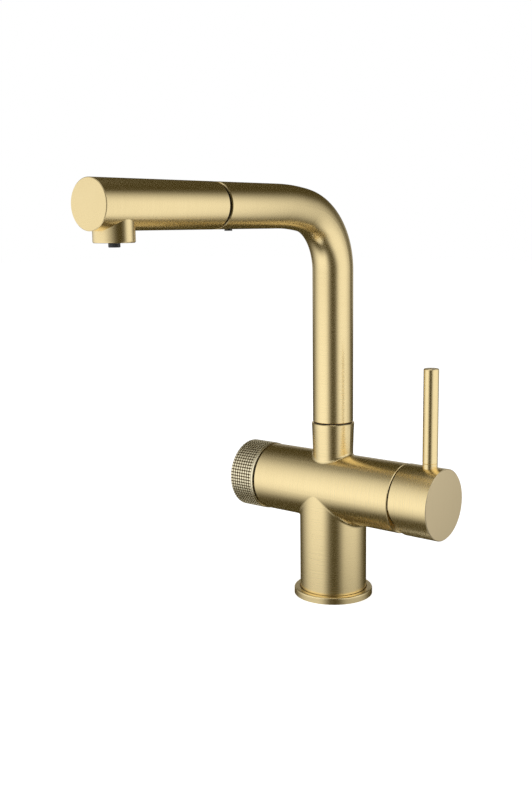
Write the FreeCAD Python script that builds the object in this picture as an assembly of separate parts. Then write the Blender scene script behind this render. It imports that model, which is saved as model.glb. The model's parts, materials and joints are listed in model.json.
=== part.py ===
"""Three way filtered water tap with a pull-out spray head.

Millimetres, +Z up. The origin is the mouth of the mounting thread, on the worktop. The spout points
along -Y, the mixer lever is on the +X end of the barrel and the filter knob on the -X end.
"""
import FreeCAD
import Part
import os
from collections import namedtuple
from math import asin, cos, degrees, hypot, radians, sin, sqrt, tan

Vector = FreeCAD.Vector
Axis = namedtuple("Axis", "origin along across")

# Clearances
running = 0.05                 # radial, shafts that turn in their holes
sliding = 0.1                  # radial, what slides or turns loosely
free = 0.3                     # what moves past without touching
seated = 0.02                  # radial, what is pressed or screwed in

# Casting
barrel_diameter = 47.4
column_inset = 0.2             # the column is this much slimmer all round, so that it blends in
barrel_height = 78.0           # barrel axis above the worktop
barrel_right = 59.4            # mixer end of the barrel from the riser axis
barrel_left = 53.3             # filter end of the barrel from the riser axis
neck_top = 124.0
neck_step = 0.8                # neck's top edge proud of the spout tube
neck_taper = 0.7               # how much the neck narrows towards the barrel
column_fillet = 3.0
neck_fillet = 1.8
end_bevel = 0.4

# Foot and mounting
flange_rim = 4.3               # flange outside the column
flange_height = 4.8
flange_ledge = 2.0             # flange under the column's shoulder
flange_groove = 0.6            # gap round the column
flange_round = 1.2
flange_round_facets = 6
foot_shoulder = 3.6            # column's shoulder that rests on the flange
seal_width = 2.4
seal_height = 1.6
seal_margin = 2.9              # flange outside its seal
shank_thread_diameter = 30.4   # crests of M32 x 1.5
shank_depth = 44.0
port_thread_diameter = 6.92    # crests of M8 x 1
port_thread_depth = 10.0
port_web = 1.24                # metal between a port and the hose passage
channel_diameter = 5.0

# Hoses
hose_diameter = 12.0
hose_bore = 8.4
hose_room = 0.5                # radial, round the hose in the casting
filter_tube_diameter = 6.0
filter_tube_bore = 3.6
ferrule_wall = 0.9
ferrule_length = 12.0

# Spout
tube_diameter = 28.0
tube_wall = 1.5
arm_height = 272.0
bend_radius = 41.0
bend_turn = 80.0               # degrees, before the bend eases out into the arm
easing_radius = 157.0
hose_bend_extra = 2.3          # how much wider the hose bends than the spout
arm_length = 119.0             # open end of the arm from the riser axis
seam_gap = 2.0
seam_bevel = 0.5
swivel_gap = 0.7
swivel_range = 75.0
washer_play = 0.1
washer_inset = 0.8
spigot_step = 1.0              # spigot slimmer in the neck than in the riser
spigot_wall = 3.5
spigot_depth = 23.0            # spigot below the neck's top
spigot_rise = 16.0             # spigot inside the riser
spout_o_ring = 2.2
o_ring_room = 1.2              # groove width in ring thicknesses
o_ring_pitch = 2.2             # ring spacing in ring thicknesses
retainer_diameter = 4.0
retainer_drop = 6.0            # retaining screw below the neck's top
retainer_bite = 0.9            # screw's tip in the spigot's stop groove
screw_recess = 1.0
screw_socket_depth = 1.6
tip_bevel = 0.5                # lead-in on hidden ends

# Docking of the spray head
collar_length = 21.0
collar_wall = 2.85
collar_proud = 0.3
dock_screw_back = 11.5         # screw behind the end of the arm
dock_screw_head = 4.7
dock_screw_proud = 0.9
dock_screw_sink = 0.6
dock_screw_shank = 3.3
dock_screw_socket = 1.0
tail_length = 16.0
tail_thread_length = 14.0
tail_ring_back = 4.0           # O-ring from the tail's end
dock_o_ring = 1.6

# Spray head
reach = 200.0                  # nozzle axis from the riser axis
head_overhang = 17.2           # head's end beyond the nozzle axis
head_wall = 1.8
head_end_wall = 3.0
duct_wall = 1.7
nozzle_diameter = 23.0
nozzle_wall = 1.5
nozzle_length = 6.3            # nozzle's lip below the head
nozzle_round = 0.7
outlet_diameter = 6.5
outlet_bore = 3.6
outlet_proud = 2.4
outlet_length = 9.0
outlet_bevel = 0.3
filter_joint = 6.0             # filtered water tube beyond the tail
aerator_height = 7.0
aerator_inset = 0.6
aerator_rim = 1.2
aerator_floor = 1.5
aerator_jets = 12
jet_diameter = 1.8
screen_thickness = 0.8
screen_inset = 0.4
aerator_seal_height = 1.2
aerator_seal_width = 2.0

# Mixer cartridge
cartridge_diameter = 35.0
cartridge_floor = 22.0         # chamber floor from the riser axis
cartridge_wall = 2.5
cartridge_base = 4.0
mixed_port_rise = 9.0          # mixed water port above the barrel axis
inlet_port_drop = 4.5          # hot and cold ports below it
port_seal_height = 1.6
port_seal_width = 1.2
mixer_disc = 3.5
disc_port_inset = 0.3
disc_margin = 0.5              # moving disc clear of the housing at full slide
pocket_width = 13.0
pocket_low = 4.0
pocket_high = 7.0
pocket_depth = 2.1
carrier_plate = 1.6
carrier_block = 3.2
carrier_width = 17.6
carrier_height = 14.0
rotor_plate = 4.5
rotor_lug_height = 10.0
cartridge_lip = 3.0
rotor_neck_diameter = 22.0
rotor_neck_rise = 7.0
pivot_rise = 1.6
pivot_pin_diameter = 3.0
pivot_pin_inset = 0.8
stem_width = 8.0
stem_tip_diameter = 6.0
nut_diameter = 40.8
nut_height = 6.0
nut_lip = 4.0
nut_dish = 4.0
cover_thickness = 2.0
cover_inset = 1.4
cover_bore = 27.0

# Mixer lever
cap_step = 0.3                 # cap proud of the barrel
cap_gap = 1.1
cap_end = 89.5                 # cap's outer face from the riser axis
cap_skirt = 4.2
cap_cavity = 12.0
cap_bevel = 0.5
cap_hub_wall = 2.8
cap_hub_inset = 2.0
stem_bury = 3.5                # stem in the solid of the cap
lever_tilt = 14.0
lever_pin_diameter = 10.0
lever_pin_top = 167.5
lever_pin_back = 11.2          # pin axis behind the cap's outer face
lever_pin_sink = 9.0
lever_stub_diameter = 6.0
lever_stub_length = 7.0
lever_ring_rise = 3.0
lever_ring_depth = 0.25
lever_ring_width = 0.6
lever_grub_diameter = 5.0
lever_grub_length = 5.0
lever_grub_margin = 1.5

# Filter valve
valve_floor = 16.0             # chamber floor from the riser axis
valve_chamber_diameter = 20.0
valve_chamber_length = 14.0
valve_thread_diameter = 22.0
valve_thread_length = 8.0
valve_nose_diameter = 16.8
valve_nose_wall = 1.2
valve_seal = 1.5
valve_seal_rim = 0.5
valve_disc = 3.0
valve_disc_land = 1.8
valve_window_width = 6.0
valve_window_length = 5.0
valve_washer = 1.0
valve_washer_rim = 1.0
valve_hex = 24.0
valve_hex_length = 5.0
valve_gland_diameter = 14.0
valve_gland_length = 8.0
spindle_diameter = 8.0
spindle_foot = 3.0
spindle_flat = 0.8
spindle_o_ring = 1.5

# Filter knob
knob_step = 0.6                # knob proud of the barrel
knob_gap = 1.0
knob_end = 75.3                # knob's outer face from the riser axis
knob_rim = 1.2
knob_rim_step = 0.4
knob_wall = 4.1
knob_face = 3.5
knob_hub_wall = 2.0
knob_hub_inset = 3.2
knob_turn = 90.0
knob_grub_diameter = 4.0
knob_grub_margin = 1.6
bush_wall = 2.0
bush_length = 11.0

# Worked out
tube_radius = tube_diameter / 2
tube_inside = tube_radius - tube_wall - seated
spigot_radius = tube_inside - spigot_step
barrel_radius = barrel_diameter / 2
column_radius = barrel_radius - column_inset
foot_radius = column_radius - foot_shoulder
neck_radius = tube_radius + neck_step
riser_bottom = neck_top + swivel_gap
turned_share = sin(radians(bend_turn))
bend_rise = bend_radius * turned_share + easing_radius * (1 - turned_share)
bend_foot = arm_height - bend_rise
bend_reach = bend_radius + (easing_radius - bend_radius) * cos(radians(bend_turn))
hose_bend = bend_rise + hose_bend_extra
hose_radius = hose_diameter / 2
passage_radius = hose_radius + hose_room
port_radius = port_thread_diameter / 2
channel_radius = channel_diameter / 2
port_place = passage_radius + port_web + port_radius
port_slant = port_place * cos(radians(45))
collar_bore = tube_inside - collar_wall
tail_radius = collar_bore - sliding
head_start = arm_length + seam_gap
head_end = reach + head_overhang
head_inside = tube_radius - head_wall
nozzle_radius = nozzle_diameter / 2
nozzle_throat = nozzle_radius - nozzle_wall
nozzle_lip = tube_radius + nozzle_length
outlet_radius = outlet_diameter / 2
cap_radius = barrel_radius + cap_step
knob_radius = barrel_radius + knob_step
knob_cavity = knob_radius - knob_wall

# Places along the mixer side of the barrel, from the riser axis outwards
fixed_disc_place = cartridge_floor + cartridge_base
moving_disc_place = fixed_disc_place + mixer_disc
carrier_place = moving_disc_place + mixer_disc
tongue_place = carrier_place + carrier_plate
rotor_place = tongue_place + carrier_block + free
lip_place = rotor_place + rotor_plate + free
cartridge_top = lip_place + cartridge_lip
pivot_place = cartridge_top + pivot_rise
rotor_top = cartridge_top + rotor_neck_rise
cap_start = barrel_right + cap_gap
cap_floor = cap_start + cap_cavity
stem_end = cap_floor + stem_bury
lever_pin_place = cap_end - lever_pin_back
cartridge_inside = cartridge_diameter / 2 - cartridge_wall
carrier_arm = pivot_place - (tongue_place + carrier_block / 2)
disc_slide = carrier_arm * radians(lever_tilt)
moving_disc_radius = cartridge_inside - disc_slide - disc_margin

# Places along the filter side of the barrel, from the riser axis outwards
valve_disc_place = valve_floor + valve_seal
valve_thread_place = valve_floor + valve_chamber_length
valve_shoulder = valve_thread_place + valve_thread_length
valve_collar = valve_shoulder + valve_washer
valve_gland = valve_collar + valve_hex_length
valve_end = valve_gland + valve_gland_length
valve_inside = valve_nose_diameter / 2 - valve_nose_wall
spindle_place = valve_disc_place + 2 * valve_disc
spindle_shoulder = spindle_place + spindle_foot
spindle_ring_place = valve_shoulder - valve_thread_length / 2
knob_start = barrel_left + knob_gap
knob_floor = knob_end - knob_face
hub_start = knob_start + knob_hub_inset
bush_end = hub_start + bush_length
spindle_end = bush_end - tip_bevel
bush_radius = spindle_diameter / 2 + bush_wall

parallel = 0.001               # sine of the angle within which two directions count as one
UP = Vector(0, 0, 1)
FRONT = Vector(0, -1, 0)
RIGHT = Vector(1, 0, 0)
COLUMN = Axis(Vector(), UP, RIGHT)
MIXER = Axis(Vector(0, 0, barrel_height), RIGHT, UP)
FILTER = Axis(Vector(0, 0, barrel_height), -RIGHT, UP)
ARM = Axis(Vector(0, 0, arm_height), FRONT, UP)
NOZZLE = Axis(Vector(0, -reach, arm_height), -UP, FRONT)
NECK_SCREW = Axis(Vector(0, 0, neck_top - retainer_drop), -FRONT, UP)
DOCK_SCREW = Axis(Vector(0, dock_screw_back - arm_length, arm_height), -UP, FRONT)
PIVOT = Axis(Vector(pivot_place, 0, barrel_height), FRONT, UP)
LEVER_PIN = Axis(Vector(lever_pin_place, 0, barrel_height), UP, RIGHT)
LEVER_GRUB = Axis(Vector(cap_floor - lever_grub_margin - lever_grub_diameter / 2, 0, barrel_height),
                  -UP, RIGHT)
KNOB_GRUB = Axis(Vector(-hub_start - knob_grub_margin - knob_grub_diameter / 2, 0, barrel_height),
                 -UP, RIGHT)


def rod(axis, start, end, radius):
    """A round bar along an axis, between two places."""
    return Part.makeCylinder(radius, end - start, axis.origin + axis.along * start, axis.along)


def pipe(axis, start, end, outer, inner):
    """A round bar with a bore right through."""
    return rod(axis, start, end, outer).cut(rod(axis, start, end, inner))


def turned(axis, profile):
    """A turned piece: the profile is (place, radius) pairs, closed back to its first pair."""
    points = [axis.origin + axis.along * place + axis.across * radius for place, radius in profile]
    face = Part.Face(Part.makePolygon(points + points[:1]))
    return face.revolve(axis.origin, axis.along, 360)


def bevelled_rod(axis, start, end, radius, bevel, both=False):
    """A round bar with a bevel round its far end, or round both."""
    near = [(start, radius - bevel), (start + bevel, radius)] if both else [(start, radius)]
    return turned(axis, [(start, 0)] + near + [(end - bevel, radius), (end, radius - bevel), (end, 0)])


def block(low, high):
    """A box between two corners."""
    size = high - low
    return Part.makeBox(size.x, size.y, size.z, low)


def level_block(start, end, half_width, low, high):
    """A box along the barrel, from low to high above its axis."""
    return block(Vector(start, -half_width, barrel_height + low),
                 Vector(end, half_width, barrel_height + high))


def hex_bar(axis, start, end, across_flats):
    """A six-sided bar: a screw's socket or a nut's outside."""
    other = axis.along.cross(axis.across)
    radius = across_flats / 2 / cos(radians(30))
    base = axis.origin + axis.along * start
    corners = [base + axis.across * (radius * cos(radians(60 * side)))
               + other * (radius * sin(radians(60 * side))) for side in range(6)]
    return Part.Face(Part.makePolygon(corners + corners[:1])).extrude(axis.along * (end - start))


def o_ring(axis, place, outer, thickness):
    """A rubber ring whose outside has the radius outer."""
    centre = axis.origin + axis.along * place
    return Part.makeTorus(outer - thickness / 2, thickness / 2, centre, axis.along)


def o_ring_groove(axis, place, outer, thickness):
    """The groove for a rubber ring, open beyond the radius outer."""
    half = thickness * o_ring_room / 2
    return pipe(axis, place - half, place + half, outer + thickness, outer - thickness)


def beside(axis, shift):
    """The same direction through another point."""
    return Axis(axis.origin + shift, axis.along, axis.across)


def joined(first, *others):
    """One solid from pieces that overlap or meet."""
    return first.fuse(list(others)).removeSplitter()


def without(shape, *cutters):
    """A solid with several pieces cut away."""
    return shape.cut(list(cutters))


def curved_rod(start, along, centre, turn, radius):
    """A round bar that starts at a point, in a direction, and turns about a level line."""
    section = Part.Face(Part.Wire(Part.makeCircle(radius, start, along)))
    return section.revolve(centre, RIGHT, turn)


def bent_bar(bottom, front, radius):
    """A bar up the riser, round the bend, which eases out at its end, and along the arm."""
    foot, arm_start = UP * bend_foot, ARM.origin + FRONT * bend_reach
    return joined(rod(COLUMN, bottom, bend_foot, radius),
                  curved_rod(foot, UP, foot + FRONT * bend_radius, bend_turn, radius),
                  curved_rod(arm_start, FRONT, arm_start - UP * easing_radius, bend_turn - 90, radius),
                  rod(ARM, bend_reach, front, radius))


def seams_between(shape, direction, other_direction):
    """Edges where a round face about one direction meets a round face about another."""
    def round_faces(about):
        curved = [face for face in shape.Faces if not isinstance(face.Surface, Part.Plane)]
        return [face for face in curved if hasattr(face.Surface, "Axis")
                and face.Surface.Axis.cross(about).Length < parallel]
    others = [edge for face in round_faces(other_direction) for edge in face.Edges]
    return [edge for face in round_faces(direction) for edge in face.Edges
            if any(edge.isSame(other) for other in others)]


# Casting and foot

def casting_outside():
    column = turned(COLUMN, [(flange_ledge, 0), (flange_ledge, column_radius - end_bevel),
                             (flange_ledge + end_bevel, column_radius), (barrel_height, column_radius),
                             (barrel_height, 0)])
    barrel = bevelled_rod(MIXER, -barrel_left, barrel_right, barrel_radius, end_bevel, both=True)
    tee = joined(column, barrel)
    tee = tee.makeFillet(column_fillet, seams_between(tee, UP, RIGHT))
    waist = neck_radius - neck_taper
    neck = turned(COLUMN, [(barrel_height, 0), (barrel_height, waist),
                           (barrel_height + barrel_radius, waist), (neck_top - end_bevel, neck_radius),
                           (neck_top, neck_radius - end_bevel), (neck_top, 0)])
    whole = joined(tee, neck)
    above = [edge for edge in seams_between(whole, UP, RIGHT) if edge.BoundBox.ZMin > barrel_height]
    whole = whole.makeFillet(neck_fillet, above)
    return joined(whole, rod(COLUMN, 0, flange_ledge, foot_radius))


def waterway(x, y, height, end):
    """A threaded port in the divider, its riser and the level channel to a chamber."""
    upright = beside(COLUMN, Vector(x, y, 0))
    level = beside(MIXER, Vector(0, y, height - barrel_height))
    start, stop = sorted((x, end))
    return [rod(upright, shank_depth, shank_depth + port_thread_depth, port_radius),
            rod(upright, shank_depth, height, channel_radius),
            rod(level, start, stop, channel_radius)]


def mixer_waterways():
    """Hot, cold and mixed water, between the divider and the cartridge's base."""
    inlet_height = barrel_height - inlet_port_drop
    hot = waterway(port_slant, port_slant, inlet_height, cartridge_floor)
    cold = waterway(port_slant, -port_slant, inlet_height, cartridge_floor)
    mixed = waterway(port_place, 0, barrel_height + mixed_port_rise, cartridge_floor)
    return hot + cold + mixed


def filter_waterways():
    """Filtered water into the middle of the valve's seat and out of the chamber round it."""
    drop = sqrt(valve_chamber_diameter ** 2 / 4 - port_slant ** 2)
    into = waterway(-port_place, 0, barrel_height, -valve_floor)
    out = waterway(-port_slant, -port_slant, barrel_height - drop, -valve_disc_place)
    return into + out


def casting_cavities():
    return [
        rod(COLUMN, 0, shank_depth, shank_thread_diameter / 2),
        rod(COLUMN, shank_depth, neck_top, passage_radius),
        rod(COLUMN, neck_top - spigot_depth - free, neck_top, spigot_radius + running),
        rod(NECK_SCREW, 0, neck_radius, retainer_diameter / 2 + seated),
        rod(MIXER, cartridge_floor, cartridge_top, cartridge_diameter / 2 + sliding),
        rod(MIXER, cartridge_top, barrel_right, nut_diameter / 2 + seated),
        rod(FILTER, valve_floor, valve_thread_place, valve_chamber_diameter / 2),
        rod(FILTER, valve_thread_place, valve_shoulder, valve_thread_diameter / 2 + seated),
        rod(FILTER, valve_shoulder, barrel_left, knob_cavity),
    ]


def tap_body():
    return without(casting_outside(), *casting_cavities(), *mixer_waterways(), *filter_waterways())


def base_flange():
    outer, recess, bore = column_radius + flange_rim, column_radius + flange_groove, foot_radius + sliding
    centre_height, centre_radius = flange_height - flange_round, outer - flange_round
    angles = [radians(90 * facet / flange_round_facets) for facet in range(flange_round_facets + 1)]
    rounding = [(centre_height + flange_round * sin(angle), centre_radius + flange_round * cos(angle))
                for angle in angles]
    ring = turned(COLUMN, [(0, bore), (0, outer)] + rounding
                  + [(flange_height, recess), (flange_ledge, recess), (flange_ledge, bore)])
    return ring.cut(base_seal())


def base_seal():
    outer = column_radius + flange_rim - seal_margin
    return pipe(COLUMN, 0, seal_height, outer, outer - seal_width)


# Spout and its swivel

def spout_retaining_screw():
    start, end = spigot_radius - retainer_bite, neck_radius - screw_recess
    radius = retainer_diameter / 2
    body = turned(NECK_SCREW, [(start, 0), (start, radius - tip_bevel), (start + tip_bevel, radius),
                               (end, radius), (end, 0)])
    return body.cut(hex_bar(NECK_SCREW, end - screw_socket_depth, end, radius))


def spout_tube():
    outside = bent_bar(riser_bottom, arm_length, tube_radius)
    bore = bent_bar(riser_bottom, arm_length, tube_radius - tube_wall)
    beyond = tube_radius + seam_bevel
    low = turned(COLUMN, [(riser_bottom, tube_radius - seam_bevel), (riser_bottom, beyond),
                          (riser_bottom + seam_bevel, beyond), (riser_bottom + seam_bevel, tube_radius)])
    rim = turned(ARM, [(arm_length, tube_radius - seam_bevel), (arm_length, beyond),
                       (arm_length - seam_bevel, beyond), (arm_length - seam_bevel, tube_radius)])
    return without(outside, bore, low, rim, *dock_screw_parts(seated))


def spout_o_ring_places():
    low = neck_top - spigot_depth
    return [low + count * o_ring_pitch * spout_o_ring for count in (1, 2)]


def spout_spigot():
    low, high, inside = neck_top - spigot_depth, riser_bottom + spigot_rise, spigot_radius - spigot_wall
    piece = turned(COLUMN, [(low, inside), (low, spigot_radius - tip_bevel),
                            (low + tip_bevel, spigot_radius), (riser_bottom, spigot_radius),
                            (riser_bottom, tube_inside), (high, tube_inside), (high, inside)])
    grooves = [o_ring_groove(COLUMN, place, spigot_radius, spout_o_ring)
               for place in spout_o_ring_places()]
    return without(piece, stop_groove(), *grooves)


def stop_groove():
    """The groove that the retaining screw's tip runs in; its ends stop the swivel."""
    floor, beyond = spigot_radius - retainer_bite - free, spigot_radius + free
    half_turn = swivel_range + degrees(asin((retainer_diameter / 2 + free) / floor))
    middle, half_width = neck_top - retainer_drop, retainer_diameter / 2 + free
    away = Vector(sin(radians(half_turn)), cos(radians(half_turn)), 0)
    corners = [away * radius + UP * (middle + side * half_width)
               for side, radius in ((-1, floor), (-1, beyond), (1, beyond), (1, floor))]
    return Part.Face(Part.makePolygon(corners + corners[:1])).revolve(Vector(), UP, 2 * half_turn)


def spout_o_rings():
    return Part.makeCompound([o_ring(COLUMN, place, spigot_radius, spout_o_ring)
                              for place in spout_o_ring_places()])


def spout_washer():
    low = neck_top + washer_play
    return pipe(COLUMN, low, riser_bottom, tube_radius - washer_inset, spigot_radius + seated)


def docking_collar():
    start, end = arm_length - collar_length, arm_length + collar_proud
    body = turned(ARM, [(start, collar_bore), (start, tube_inside), (end, tube_inside),
                        (end, collar_bore + tip_bevel), (end - tip_bevel, collar_bore)])
    return without(body, *dock_screw_parts(seated))


def dock_screw_parts(margin):
    """The docking screw's head and shank, or the room for them with a margin all round."""
    seat, tip = tube_radius - dock_screw_sink, collar_bore + tip_bevel
    head = rod(DOCK_SCREW, seat - margin, tube_radius + dock_screw_proud, dock_screw_head / 2 + margin)
    return [head, rod(DOCK_SCREW, tip, seat, dock_screw_shank / 2 + margin)]


def docking_screw():
    crown = tube_radius + dock_screw_proud
    socket = hex_bar(DOCK_SCREW, crown - dock_screw_socket, crown, dock_screw_head / 2)
    return joined(*dock_screw_parts(0)).cut(socket)


# Hoses: the spray hose with the filtered water tube inside it, in three stretches. The lower one
# stays in the body, the middle one swivels with the spout and the upper one slides with the head.

def lower_stretch(radius):
    return rod(COLUMN, shank_depth, neck_top - spigot_depth - free, radius)


def middle_stretch(radius):
    foot = UP * (arm_height - hose_bend)
    bend = curved_rod(foot, UP, foot + FRONT * hose_bend, 90, radius)
    return joined(rod(COLUMN, neck_top - spigot_depth, foot.z, radius), bend)


def spray_hose(stretch):
    return stretch(hose_radius).cut(stretch(hose_bore / 2))


def filter_tube(stretch):
    return stretch(filter_tube_diameter / 2).cut(stretch(filter_tube_bore / 2))


def spray_hose_lower():
    return spray_hose(lower_stretch)


def spray_hose_middle():
    return spray_hose(middle_stretch)


def spray_hose_upper():
    return spray_hose(lambda radius: rod(ARM, hose_bend + free, head_start + ferrule_length, radius))


def filter_tube_lower():
    return filter_tube(lower_stretch)


def filter_tube_middle():
    return filter_tube(middle_stretch)


def filter_tube_upper():
    end = head_start + tail_thread_length + filter_joint
    return filter_tube(lambda radius: rod(ARM, hose_bend + free, end, radius))


# Spray head

def spray_head_shell():
    barrel = turned(ARM, [(head_start, 0), (head_start, tube_radius - seam_bevel),
                          (head_start + seam_bevel, tube_radius), (head_end - end_bevel, tube_radius),
                          (head_end, tube_radius - end_bevel), (head_end, 0)])
    third = nozzle_round / 3
    collar = turned(NOZZLE, [(0, 0), (0, nozzle_radius), (nozzle_lip - nozzle_round, nozzle_radius),
                             (nozzle_lip - third, nozzle_radius - third),
                             (nozzle_lip, nozzle_radius - nozzle_round), (nozzle_lip, 0)])
    cavity = rod(ARM, head_start, head_end - head_end_wall, head_inside)
    return without(joined(barrel, collar), cavity, rod(NOZZLE, 0, nozzle_lip, nozzle_throat))


def head_tail():
    """The threaded plug in the back of the head, with the tail that docks in the collar."""
    back, front = head_start - tail_length, head_start + tail_thread_length
    fit, bore, seat = head_inside - seated, hose_radius + sliding, hose_radius + ferrule_wall + sliding
    body = turned(ARM, [(back, bore), (back, tail_radius - tip_bevel), (back + tip_bevel, tail_radius),
                        (head_start, tail_radius), (head_start, fit), (front, fit), (front, seat),
                        (head_start, seat), (head_start, bore)])
    return body.cut(o_ring_groove(ARM, back + tail_ring_back, tail_radius, dock_o_ring))


def docking_o_ring():
    return o_ring(ARM, head_start - tail_length + tail_ring_back, tail_radius, dock_o_ring)


def hose_ferrule():
    start = head_start + seated
    return pipe(ARM, start, start + ferrule_length, hose_radius + ferrule_wall, hose_radius)


def water_carrier():
    """The plastic duct that leads the mixed water from the tail to the nozzle."""
    start, end = head_start + tail_thread_length, head_end - head_end_wall - free
    outer = head_inside - free
    inner = outer - duct_wall
    duct = turned(ARM, [(start, inner), (start, outer), (end, outer), (end, 0), (end - duct_wall, 0),
                        (end - duct_wall, inner)])
    return duct.cut(rod(NOZZLE, 0, nozzle_lip, nozzle_throat))


def filter_duct():
    """The thin elbow that leads the filtered water to its own outlet."""
    start, turn_radius = head_start + tail_thread_length + filter_joint, filter_tube_diameter
    end = nozzle_lip + outlet_proud - outlet_length
    corner = Vector(0, turn_radius - reach, arm_height)

    def elbow(radius):
        circle = Part.Face(Part.Wire(Part.makeCircle(radius, corner, FRONT)))
        bend = circle.revolve(corner - UP * turn_radius, RIGHT, 90)
        return joined(rod(ARM, start, reach - turn_radius, radius), bend,
                      rod(NOZZLE, turn_radius, end, radius))
    return elbow(filter_tube_diameter / 2).cut(elbow(filter_tube_bore / 2))


def filtered_outlet():
    end, inner = nozzle_lip + outlet_proud, outlet_bore / 2
    start = end - outlet_length
    return turned(NOZZLE, [(start, inner), (start, outlet_radius), (end - outlet_bevel, outlet_radius),
                           (end, outlet_radius - outlet_bevel), (end, inner)])


def aerator_housing():
    low = nozzle_lip - aerator_inset
    high = low - aerator_height
    outer, inner = nozzle_throat - seated, outlet_radius + seated
    shell = pipe(NOZZLE, high, low, outer, outer - aerator_rim)
    hub = pipe(NOZZLE, high, low, inner + aerator_rim, inner)
    floor = pipe(NOZZLE, high, high + aerator_floor, outer, inner)
    middle, step = (outer + inner) / 2, 360 / aerator_jets
    jets = [rod(beside(NOZZLE, Vector(middle * cos(radians(step * jet)),
                                      middle * sin(radians(step * jet)), 0)),
                high, high + aerator_floor, jet_diameter / 2) for jet in range(aerator_jets)]
    return without(joined(shell, hub, floor), *jets)


def aerator_screen():
    low = nozzle_lip - aerator_inset - screen_inset
    return pipe(NOZZLE, low - screen_thickness, low, nozzle_throat - seated - aerator_rim,
                outlet_radius + seated + aerator_rim)


def aerator_seal():
    place, outer = nozzle_lip - aerator_inset - aerator_height, nozzle_throat - seated
    return pipe(NOZZLE, place - aerator_seal_height, place, outer, outer - aerator_seal_width)


# Mixer cartridge

def mixer_ports(start, end, radius):
    """Three round bars in line with the hot, cold and mixed water ports."""
    places = [(port_slant, -inlet_port_drop), (-port_slant, -inlet_port_drop), (0, mixed_port_rise)]
    return [rod(beside(MIXER, Vector(0, y, z)), start, end, radius) for y, z in places]


def cartridge_port_seals():
    end = cartridge_floor + port_seal_height
    rings = mixer_ports(cartridge_floor, end, channel_radius + port_seal_width)
    holes = mixer_ports(cartridge_floor, end, channel_radius)
    return Part.makeCompound([ring.cut(hole) for ring, hole in zip(rings, holes)])


def cartridge_base_plate():
    plate = rod(MIXER, cartridge_floor, fixed_disc_place, cartridge_diameter / 2)
    return without(plate, cartridge_port_seals(),
                   *mixer_ports(cartridge_floor, fixed_disc_place, channel_radius))


def cartridge_housing():
    outer, bore = cartridge_diameter / 2, rotor_neck_diameter / 2 + sliding
    return turned(MIXER, [(fixed_disc_place, cartridge_inside), (fixed_disc_place, outer),
                          (cartridge_top, outer), (cartridge_top, bore), (lip_place, bore),
                          (lip_place, cartridge_inside)])


def mixer_fixed_disc():
    disc = rod(MIXER, fixed_disc_place, moving_disc_place, cartridge_inside - sliding)
    return without(disc, *mixer_ports(fixed_disc_place, moving_disc_place,
                                      channel_radius - disc_port_inset))


def mixer_moving_disc():
    disc = rod(MIXER, moving_disc_place, carrier_place, moving_disc_radius)
    return disc.cut(level_block(moving_disc_place, moving_disc_place + pocket_depth, pocket_width / 2,
                                -pocket_low, pocket_high))


def disc_carrier():
    end = tongue_place + carrier_block
    plate = rod(MIXER, carrier_place, tongue_place, moving_disc_radius)
    tongue = level_block(tongue_place, end, carrier_width / 2, -carrier_height / 2, carrier_height / 2)
    tip, tilt = stem_tip_diameter / 2, radians(lever_tilt)
    swing = tip / cos(tilt) + carrier_block / 2 * tan(tilt) + free
    slot = level_block(tongue_place, end, tip + free, -swing, swing)
    return joined(plate, tongue).cut(slot)


def cartridge_rotor():
    plate, neck = cartridge_inside - sliding, rotor_neck_diameter / 2
    outside = turned(MIXER, [(rotor_place, 0), (rotor_place, plate), (rotor_place + rotor_plate, plate),
                             (rotor_place + rotor_plate, neck), (rotor_top - tip_bevel, neck),
                             (rotor_top, neck - tip_bevel), (rotor_top, 0)])
    lug, beyond = rotor_lug_height / 2, rotor_lug_height
    bar = rod(MIXER, tongue_place + free, rotor_place, plate).common(
        level_block(tongue_place, rotor_place, plate, -lug, lug))
    lugs = bar.cut(level_block(tongue_place, rotor_place, carrier_width / 2 + free, -beyond, beyond))
    tilt, half = radians(lever_tilt), stem_width / 2
    swing = max(pivot_place - rotor_place, rotor_top - pivot_place) * sin(tilt) + half / cos(tilt) + free
    slot = level_block(rotor_place, rotor_top, half + free, -swing, swing)
    return without(joined(outside, lugs), slot, rod(PIVOT, -neck, neck, pivot_pin_diameter / 2 + seated))


def lever_pivot_pin():
    half = rotor_neck_diameter / 2 - pivot_pin_inset
    return rod(PIVOT, -half, half, pivot_pin_diameter / 2)


def cartridge_stem():
    half, tip = stem_width / 2, stem_tip_diameter / 2
    step = rotor_place + 2 * free + half * sin(radians(lever_tilt))
    start = tongue_place + 2 * free
    bar = level_block(step, stem_end, half, -half, half)
    end = turned(MIXER, [(start, 0), (start, tip - tip_bevel), (start + tip_bevel, tip), (step, tip),
                         (step, 0)])
    return joined(bar, end).cut(rod(PIVOT, -half, half, pivot_pin_diameter / 2 + running))


def cartridge_nut():
    bore, end = rotor_neck_diameter / 2 + free, cartridge_top + nut_height
    return turned(MIXER, [(cartridge_top, bore), (cartridge_top, nut_diameter / 2),
                          (end, nut_diameter / 2), (end, bore + nut_dish),
                          (cartridge_top + nut_lip, bore)])


def cartridge_cover():
    """The ring that closes the mouth of the barrel round the stem."""
    face = barrel_right - cover_inset
    return pipe(MIXER, face - cover_thickness, face, nut_diameter / 2 - seated, cover_bore / 2)


# Lever

def cap_cut():
    """The slanted cut that lets the lower edge of the cap swing past the barrel."""
    low = -2 * cap_radius
    depth = -low * tan(radians(lever_tilt))
    corners = [Vector(place, 2 * cap_radius, barrel_height + height) for place, height in
               ((barrel_right, 0), (cap_start, 0), (cap_start + depth, low), (barrel_right, low))]
    return Part.Face(Part.makePolygon(corners + corners[:1])).extrude(FRONT * 4 * cap_radius)


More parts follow.
